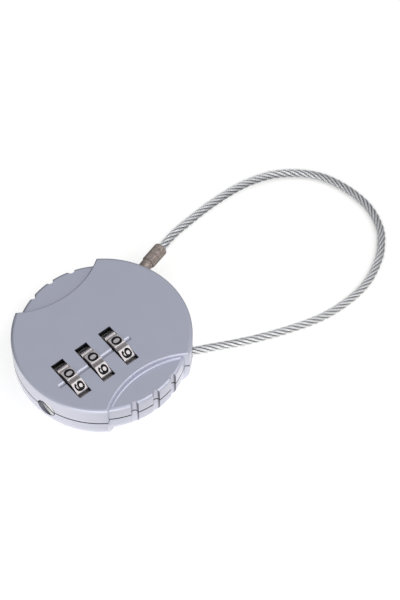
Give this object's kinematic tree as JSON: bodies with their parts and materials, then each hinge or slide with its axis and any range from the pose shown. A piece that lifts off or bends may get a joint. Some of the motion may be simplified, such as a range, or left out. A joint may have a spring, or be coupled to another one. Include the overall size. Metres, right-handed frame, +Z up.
{
  "type": "cable luggage lock",
  "caption": "Round combination lock for luggage, with number dials in the face and a steel cable loop whose free end plugs into the rim.",
  "frame": {"origin": "centre of the body's back face, on the surface it lies on", "axes": "+Z up along the disc's axis, out of the face with the dials; +X along the dials' spindle, away from the reset hole"},
  "size_m": [0.1018, 0.0479, 0.0141],
  "materials": {
    "silver_paint": "satin silver paint on die-cast metal",
    "nickel_plate": "bright nickel plate",
    "steel": "bright steel",
    "spring_steel": "oiled spring steel",
    "brass": "turned brass",
    "brown_nickel": "dull brown-grey nickel plate",
    "wire": "bright twisted steel wire",
    "clear_pvc": "clear soft plastic"
  },
  "bodies": {
    "body": {"front_cover": "silver_paint", "back_cover": "silver_paint", "drive_pins": "steel", "spindle_spring": "spring_steel", "detent_spring": "spring_steel", "locking_spring": "spring_steel", "eject_spring": "spring_steel", "anchor_ferrule": "steel", "wire_rope": "wire", "clear_sleeve": "clear_pvc"},
    "dial_1": {"dial_1": "nickel_plate"},
    "dial_2": {"dial_2": "nickel_plate"},
    "dial_3": {"dial_3": "nickel_plate"},
    "clutch_1": {"clutch_sleeve_1": "brass"},
    "clutch_2": {"clutch_sleeve_2": "brass"},
    "clutch_3": {"clutch_sleeve_3": "brass"},
    "spindle": {"spindle": "steel", "sleeve_clips": "spring_steel"},
    "reset_screw": {"reset_screw": "nickel_plate"},
    "plug": {"plug_pin": "brown_nickel", "crimp_ferrule": "brown_nickel"}
  },
  "joints": [
    {"name": "dial_1_turn", "type": "hinge", "parent": "body", "child": "dial_1", "pos_m": [-0.01305, -0.00513, 0.00755], "axis": [1, 0, 0], "continuous": true, "deforming": ["detent_spring"]},
    {"name": "dial_2_turn", "type": "hinge", "parent": "body", "child": "dial_2", "pos_m": [-0.00605, -0.00513, 0.00755], "axis": [1, 0, 0], "continuous": true},
    {"name": "dial_3_turn", "type": "hinge", "parent": "body", "child": "dial_3", "pos_m": [0.00095, -0.00513, 0.00755], "axis": [1, 0, 0], "continuous": true},
    {"name": "spindle_shift", "type": "slide", "parent": "body", "child": "spindle", "axis": [1, 0, 0], "range_m": [0, 0.001], "deforming": ["spindle_spring"]},
    {"name": "reset_turn", "type": "hinge", "parent": "body", "child": "reset_screw", "pos_m": [-0.018, -0.00513, 0.00755], "axis": [1, 0, 0], "range_deg": [0, 90]},
    {"name": "clutch_1_shift", "type": "slide", "parent": "dial_1", "child": "clutch_1", "axis": [1, 0, 0], "range_m": [0, 0.001]},
    {"name": "clutch_2_shift", "type": "slide", "parent": "dial_2", "child": "clutch_2", "axis": [1, 0, 0], "range_m": [0, 0.001]},
    {"name": "clutch_3_shift", "type": "slide", "parent": "dial_3", "child": "clutch_3", "axis": [1, 0, 0], "range_m": [0, 0.001]},
    {"name": "plug_pull", "type": "slide", "parent": "body", "child": "plug", "axis": [0.9681, 0.2504, 0], "range_m": [0, 0.014], "deforming": ["wire_rope", "clear_sleeve", "locking_spring", "eject_spring"]}
  ],
  "couplings": [
    {"joint": "reset_turn", "follows": "spindle_shift", "rad_per_m": 1570.8},
    {"joint": "clutch_1_shift", "follows": "spindle_shift", "ratio": 1},
    {"joint": "clutch_2_shift", "follows": "spindle_shift", "ratio": 1},
    {"joint": "clutch_3_shift", "follows": "spindle_shift", "ratio": 1}
  ]
}
